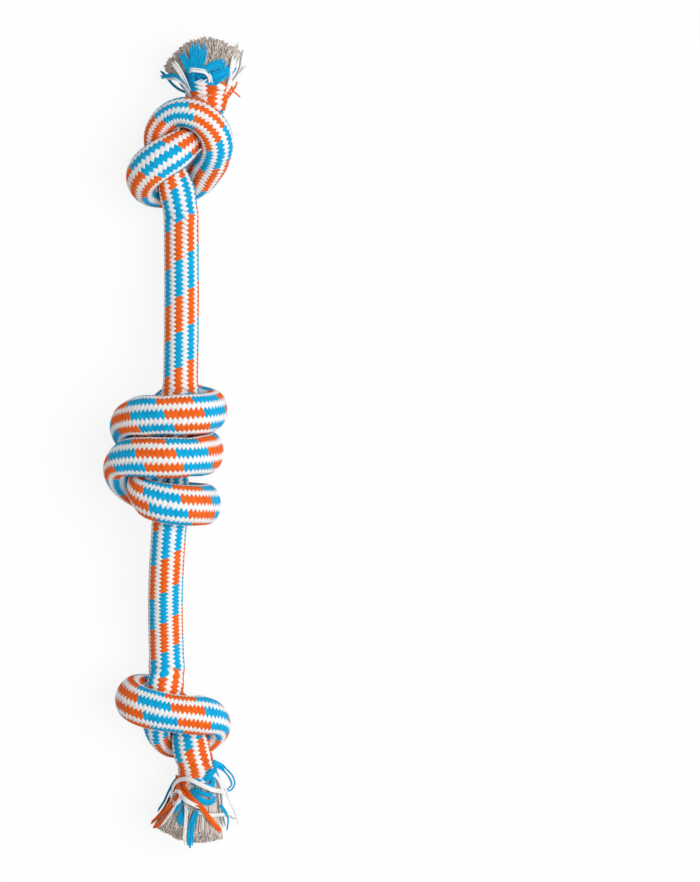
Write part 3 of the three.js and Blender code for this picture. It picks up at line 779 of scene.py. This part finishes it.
# Loose ends of the cover's strands on each tassel's upper side: colour, width in mm, height over the tuft,
# then the points it passes, in mm to the right of the tassel's joint and up the picture from it
TOP_ENDS = [
    ["blue", 4.6, 1, (-10.5, 4), (-10.2, 8), (-8.6, 13.6), (-7.7, 20), (-8.3, 26.2)],
    ["blue", 3.8, 1.2, (-7, 4), (-4.6, 11), (-2.4, 18), (-2.8, 25)],
    ["blue", 3.2, 0.8, (-11, 5), (-11.4, 9), (-13.2, 13.8), (-16.2, 19.8)],
    ["blue", 4.2, 1.6, (-1.4, 4), (-0.6, 8), (2.6, 10.8), (6.6, 12.4), (12.5, 13.2)],
    ["blue", 4, 1.3, (0.5, 2), (3.4, 5), (9.4, 7.6), (15.6, 9.8)],
    ["blue", 3.4, 1, (1.6, 0), (5.4, 2), (9.8, 5), (14.6, 8.4), (18.2, 11.6)],
    ["white", 2.8, 1, (-11, -3), (-14.5, 4), (-18.7, 11), (-23, 15.4)],
    ["white", 1.9, 0.6, (-11, -5), (-14.5, 0.5), (-20, 4), (-27, 5.5)],
    ["blue", 1.9, 0.6, (-11, -4), (-15, 2.5), (-21.5, 6), (-30.5, 5)],
    ["white", 2.1, 2.4, (-12.4, 8.4), (-9.4, 8.8), (-5.4, 8.4), (-1, 7.4), (1.4, 4.6), (2.3, 0.6)],
    ["white", 3.1, 2.2, (11.6, -5), (13.2, -1.6), (14.4, 4), (15.4, 9.6), (17.2, 18.2)],
    ["white", 2.4, 1.6, (13, -4), (15.2, 0.4), (20.2, 7.6), (24.2, 13)],
    ["white", 1.6, 1, (14, -3), (17.4, 3.4), (20, 8.6), (22, 13)],
    ["orange", 2, 0.8, (12, -3), (15, -3), (18, -5), (20.3, -7.2)],
    ["orange", 2.2, 0.8, (13, -6), (15.5, -3), (17.5, 0), (18.5, 3)],
]
BOTTOM_ENDS = [
    ["white", 2.2, 3, (-17.1, -10.8), (-15.6, -3.8), (-12.4, 0.2), (-6.1, 1.4), (0.9, -1.7), (8.8, -5.3),
     (15.9, -7.7), (19.8, -14), (23.7, -23.4), (24.5, -28.1)],
    ["white", 2, 2, (8, 6.4), (12.7, 0.2), (17.5, -6.9), (21.4, -17.1), (23.3, -21.9)],
    ["white", 2, 1.6, (-0.6, -18.7), (7.2, -21), (16.7, -21.9), (23, -23.7)],
    ["white", 1.8, 1.8, (-8.2, -12.4), (-7.5, -18.7), (-7.9, -28.1), (-8.8, -39.2)],
    ["white", 1.5, 1.8, (-10.8, -9.3), (-15.6, -17.9), (-19.5, -23.4), (-23.4, -28.5)],
    ["white", 1.8, 2.4, (-17.1, -12.4), (-14, -14), (-10.8, -10), (-12.4, -6.1), (-16.4, -7.7)],
    ["white", 1.9, 4, (-12.4, -6), (-9, -10.4), (-4.6, -13.4), (1.2, -16)],
    ["orange", 2.8, 2, (-10, -3.3), (-3.8, -10.8), (2.5, -16.8), (8, -24.2), (14.6, -32.4)],
    ["orange", 2.5, 1, (-11.6, -8.5), (-19.5, -17.5), (-29.7, -26.9)],
    ["orange", 2.2, 1, (-11.6, -12.4), (-20.3, -23.1), (-28.1, -29.7)],
    ["orange", 2.4, 1.4, (-14, 2), (-13.4, -3), (-10, -7), (-6, -12)],
    ["blue", 2.1, 1, (9.6, 11.9), (15.1, 8.8), (20.6, 3.3), (22.5, -2.2), (19.8, -6.4), (15.9, -6.1)],
    ["blue", 2.1, 1.4, (9.6, 10), (14.3, 7.2), (19, 1.7), (20.6, -3), (17.5, -5.8)],
    ["blue", 2.8, 1.6, (2.5, -0.9), (6.4, 2.5), (11.9, 8.8)],
    ["blue", 2.4, 2, (4.9, 2.5), (9.1, 0.2), (8, -3.3), (3.3, -2.2)],
    ["blue", 2.8, 1.4, (-4.6, -5.8), (0.2, -10.5), (6.4, -13.2), (11.6, -10.5)],
    ["blue", 2, 1.4, (-2.2, -4.6), (4.1, -8), (11.2, -8.8)],
    ["blue", 2.8, 1, (-0.6, -18.7), (-3.5, -25.8), (-4.6, -33.6), (-5.3, -41.2)],
    ["blue", 3.4, 0.7, (-7.7, -16.4), (-10.8, -22.6), (-10.8, -27.8)],
    ["blue", 2.6, 0.8, (13.5, -15.6), (18.2, -23.4), (17.5, -31.6)],
    ["blue", 3, 0.8, (-9.6, -11), (-13, -16), (-15.6, -19.5)],
]
COLOURS = {"white": WHITE, "blue": BLUE, "orange": ORANGE}
YARN_SOLIDS = {"white": 3, "blue": 3, "orange": 2}


class Tassel:
    """A tassel's own directions, and the shape of its tuft."""

    def __init__(self, name):
        facts = TASSELS[name]
        lean = math.radians(facts["lean"])
        self.place = JOINTS[f"{name}_tassel_swing"]
        self.along = np.array([math.sin(lean), facts["way"] * math.cos(lean), 0])
        self.across = np.array([math.cos(lean), -facts["way"] * math.sin(lean), 0])
        self.up = np.array([0, 0, 1.0])
        self.length = facts["length"]
        self.radius = facts["radius"]
        self.flare = facts["flare"]
        self.flank_share = facts["flank"]
        self.dome = facts["dome"]
        self.tilt = facts["tilt"]
        self.fray = facts["fray"]
        self.fray_slope = facts["fray_slope"]
        self.random = np.random.default_rng(facts["seed"])

    def neck(self, along):
        return ROPE_DIAMETER / 2 * neck_share(self.flare, COVER_SPARE - np.minimum(along, COVER_SPARE))

    def flank(self, along):
        """The tuft's radius at a distance along it."""
        WIDEST_SHARE = 1.1
        OPENING_POWER = 1.5
        neck = self.neck(along)
        share = np.clip(along / (self.flank_share * self.length), 0, WIDEST_SHARE)
        return neck + np.maximum(0, self.radius - neck) * share**OPENING_POWER

    def point(self, across, along, up):
        along = np.asarray(along)[..., None]
        offset = np.asarray(across)[..., None] * self.across + along * self.along
        return self.place + offset + np.asarray(up)[..., None] * self.up


def cross_frame(middles, out):
    along = unit(np.gradient(middles, axis=0))
    return along, unit(out - (out * along).sum(1, keepdims=True) * along)


def core_tuft(tassel):
    """The core's yarns, packed in the neck and fanning out to a dome of cut ends."""
    RINGS = 8
    SIDES = 4
    ROOT = 7
    OUTER_YARNS = (0.82, 1)
    NECK_SHARE = 0.82
    DOME_POWER = 2.2
    FAN_POWER = 1.35
    UNEVEN_CUT = (-1.6, 0.6)
    UNEVEN_SPREAD = (0.9, 1.0)
    UNEVEN_SIZE = (0.8, 1.15)
    SWAY = 0.09
    WAVES = 3
    random = tassel.random
    tubes = []
    share = np.linspace(0, 1, RINGS)
    for number in range(CORE_YARNS):
        spread = math.sqrt(random.random()) if number % 2 else random.uniform(*OUTER_YARNS)
        turn = random.uniform(0, 2 * math.pi)
        cut = 1 - tassel.dome * spread**DOME_POWER - tassel.tilt * spread * max(0, math.cos(turn))
        reach = tassel.length * cut + random.uniform(*UNEVEN_CUT)
        wide = tassel.radius * spread * random.uniform(*UNEVEN_SPREAD)
        along = -ROOT + (reach + ROOT) * share
        open_share = np.clip(along / reach, 0, 1)
        narrow = NECK_SHARE * tassel.neck(0) * spread
        radius = narrow + (wide - narrow) * open_share**FAN_POWER
        sway = random.uniform(-SWAY, SWAY) * open_share
        sway = sway * np.sin(WAVES * open_share + random.uniform(0, ANY_PHASE))
        middles = tassel.point(radius * np.sin(turn + sway), along, radius * np.cos(turn + sway))
        out = np.broadcast_to(tassel.point(math.sin(turn), 0, math.cos(turn)) - tassel.place, middles.shape)
        direction, out = cross_frame(middles, out)
        size = CORE_YARN_DIAMETER * random.uniform(*UNEVEN_SIZE)
        rings = tube(middles, out, direction, size, size, round_profile(SIDES))
        tubes.append((rings, random.uniform(0, YARN_STARTS), random.random(), 0))
    return tubes


def loose_end(tassel, width, guide):
    """A strand that has come undone: its yarns lie side by side, part a little and end unevenly."""
    RING_SPACING = 1.4
    SIDES = 5
    LOOSENED = 1.3
    PLY_SPACING = 0.72
    FEWEST_PLIES = 3
    FEWEST_RINGS = 5
    UNEVEN_FAN = (-0.1, 0.35)
    UNEVEN_SIZE = (0.85, 1.1)
    DRIFT = 0.25
    BULGE = 0.3
    UNEVEN_LIFT = 0.2
    WAVES = (2, 5)
    RINGS_CUT = 3
    TIP_SHARE = 0.55
    random = tassel.random
    guide = smooth_route(guide, RING_SPACING)
    rows = len(guide)
    share = np.linspace(0, 1, rows)
    middle = tassel.place + np.outer((guide - tassel.place) @ tassel.along, tassel.along)
    along, out = cross_frame(guide, unit(guide - middle))
    beside = np.cross(along, out)
    width = LOOSENED * width
    plies = max(FEWEST_PLIES, round(width / (PLY_SPACING * PLY_DIAMETER)))
    tubes = []
    for ply in range(plies):
        offset = (ply / (plies - 1) - 0.5) * (width - PLY_DIAMETER)
        fan = 1 + random.uniform(*UNEVEN_FAN) * share**3
        drift = random.uniform(-DRIFT, DRIFT)
        drift = drift * np.sin(share * random.uniform(*WAVES) + random.uniform(0, ANY_PHASE))
        lift = BULGE * math.cos(math.pi * offset / width) + random.uniform(-UNEVEN_LIFT, UNEVEN_LIFT)
        path = guide + (offset * fan + drift)[:, None] * beside + lift * out
        kept = max(FEWEST_RINGS, rows - int(random.integers(0, RINGS_CUT)))
        direction, side_out = cross_frame(path[:kept], out[:kept])
        tip = np.where(np.arange(kept) == kept - 1, TIP_SHARE, 1)
        size = PLY_DIAMETER * tip * random.uniform(*UNEVEN_SIZE)
        rings = tube(path[:kept], side_out, direction, size, size, round_profile(SIDES))
        tubes.append((rings, random.uniform(0, YARN_STARTS), random.random(), 0))
    return tubes


def upper_guide(tassel, lift, points):
    """A loose end's points, lifted onto the tuft's upper side, with the first tucked into it."""
    TUCK = 1.6
    points = np.array(points, float)
    flat = np.column_stack([points, np.zeros(len(points))])
    along = flat @ tassel.along
    across = flat @ tassel.across
    height = np.sqrt(np.maximum(0, tassel.flank(along) ** 2 - across**2))
    up = height + lift
    tucked = np.zeros(len(points))
    tucked[0] = -TUCK - lift
    return tassel.point(across, along, up + tucked)


def under_ends(tassel):
    """Loose ends on the underside, spread round it a little unevenly: colour and guide."""
    POINTS = 5
    FIRST_TURN = 112
    TURN_BETWEEN = 19.5
    UNEVEN_TURN = 5
    REACH_SHARES = (0.5, 0.85)
    ROOT = 3
    ROOT_RADIUS = 11.5
    LIFT = 0.8
    TIP_LIFT = 2.5
    CURL = 0.35
    colours = ["white", "white", "orange", "blue", "blue", "white", "orange", "blue"]
    random = tassel.random
    ends = []
    for number, colour in enumerate(colours):
        uneven = random.uniform(-UNEVEN_TURN, UNEVEN_TURN)
        turn = math.radians(FIRST_TURN + number * TURN_BETWEEN + uneven)
        reach = tassel.length * random.uniform(*REACH_SHARES)
        along = np.linspace(-ROOT, reach, POINTS)
        radius = np.where(along < 0, ROOT_RADIUS, tassel.flank(along) + LIFT)
        radius[-1] += random.uniform(0, TIP_LIFT)
        turns = turn + np.linspace(0, random.uniform(-CURL, CURL), POINTS)
        ends.append((colour, tassel.point(radius * np.sin(turns), along, radius * np.cos(turns))))
    return ends


def frayed(tassel, number):
    """Which of a strand's rings lie beyond the cover's slanted, uneven end."""
    UNEVEN_END = 2
    places = BRAID[number][1].mean(1) - tassel.place
    slanted = tassel.fray + tassel.fray_slope * (places @ tassel.across)
    return places @ tassel.along > slanted + tassel.random.uniform(-UNEVEN_END, UNEVEN_END)


def dress_tassel(name, ends, neck_begin, neck_end):
    """A tassel's neck of braid and core, its tuft of core yarns and its loose ends, by colour."""
    tassel = Tassel(name)
    cuts = []
    for number in range(len(BRAID)):
        whole = np.flatnonzero(~frayed(tassel, number)[neck_begin : neck_end + 1])
        cuts.append(strand_tube(number, neck_begin + whole[0], neck_begin + whole[-1]))
    braid = new_piece(f"{name}_neck_braid", cuts, COVER_MATERIALS)
    inner = core_piece(f"{name}_neck_core_yarns", neck_begin, neck_end)
    tuft = new_piece(f"{name}_tassel_core_yarns", core_tuft(tassel), [GREY])
    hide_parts(f"{name}_tassel_core")
    pieces = [braid, inner, tuft]
    guides = [(colour, width, upper_guide(tassel, lift, points)) for colour, width, lift, *points in ends]
    guides += [(colour, UNDER_END_WIDTH, guide) for colour, guide in under_ends(tassel)]
    for colour, material in COLOURS.items():
        tubes = []
        for end_colour, width, guide in guides:
            if end_colour == colour:
                tubes += loose_end(tassel, width, guide)
        piece = new_piece(f"{name}_tassel_{colour}_ends", tubes, [material])
        count = YARN_SOLIDS[colour]
        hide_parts(*[f"{name}_tassel_{colour}_yarn_{k + 1}" for k in range(count)])
        pieces.append(piece)
    for piece in pieces:
        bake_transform(piece)


dress_tassel("top", TOP_ENDS, 0, neck_begin)
dress_tassel("bottom", BOTTOM_ENDS, neck_end, len(ALONG) - 1)


# Floor and light


def seen_directly(tree):
    """One for what the camera sees, also in a reflection or through glass, and nought for other light."""
    rays = add_node(tree, "ShaderNodeLightPath").outputs
    seen = rays["Is Camera Ray"]
    for other in ("Is Glossy Ray", "Is Transmission Ray"):
        either = add_node(tree, "ShaderNodeMath", {"operation": "MAXIMUM"}, {0: seen, 1: rays[other]})
        seen = either.outputs[0]
    return seen


def floor():
    """Matt white paper that runs into a white background and keeps a faint shadow of the toy."""
    PLAIN_WHITE_SHARE = 0.87
    SIZE_METRES = 12
    bpy.ops.object.select_all(action="DESELECT")
    bpy.ops.mesh.primitive_plane_add(size=SIZE_METRES)
    piece = bpy.context.object
    piece.name = "studio_floor"
    material = bpy.data.materials.new("matt_white_paper")
    material.use_nodes = True
    tree = material.node_tree
    paper = tree.nodes["Principled BSDF"]
    paper.inputs["Base Color"].default_value = linear("#FBFBFB")
    paper.inputs["Roughness"].default_value = 1.0
    paper.inputs["Specular IOR Level"].default_value = 0.0
    white = add_node(tree, "ShaderNodeEmission", inputs={"Color": (1, 1, 1, 1), "Strength": 1.0})
    share = add_node(
        tree, "ShaderNodeMath", {"operation": "MULTIPLY"}, {0: seen_directly(tree), 1: PLAIN_WHITE_SHARE}
    )
    mix = add_node(
        tree,
        "ShaderNodeMixShader",
        inputs={0: share.outputs[0], 1: paper.outputs["BSDF"], 2: white.outputs["Emission"]},
    )
    tree.links.new(mix.outputs["Shader"], tree.nodes["Material Output"].inputs["Surface"])
    piece.data.materials.append(material)


def studio_light():
    """Soft light from all round, and a wide key light that comes from the right."""
    ALL_ROUND = 0.3
    KEY_STRENGTH = 2.45
    KEY_SPREAD = math.radians(50)
    KEY_TILT = math.radians(28)
    world = bpy.data.worlds.new("soft_white_studio")
    bpy.context.scene.world = world
    world.use_nodes = True
    tree = world.node_tree
    light = tree.nodes["Background"]
    light.inputs["Color"].default_value = (1, 1, 1, 1)
    light.inputs["Strength"].default_value = ALL_ROUND
    backdrop = add_node(tree, "ShaderNodeBackground", inputs={"Color": (1, 1, 1, 1), "Strength": 1.0})
    mix = add_node(
        tree,
        "ShaderNodeMixShader",
        inputs={0: seen_directly(tree), 1: light.outputs["Background"], 2: backdrop.outputs["Background"]},
    )
    tree.links.new(mix.outputs["Shader"], tree.nodes["World Output"].inputs["Surface"])
    data = bpy.data.lights.new("soft_key", "SUN")
    data.energy = KEY_STRENGTH
    data.angle = KEY_SPREAD
    key = bpy.data.objects.new("soft_key", data)
    key.rotation_euler = (0, KEY_TILT, 0)
    bpy.context.scene.collection.objects.link(key)


floor()
studio_light()
bpy.context.scene.view_settings.view_transform = "Standard"
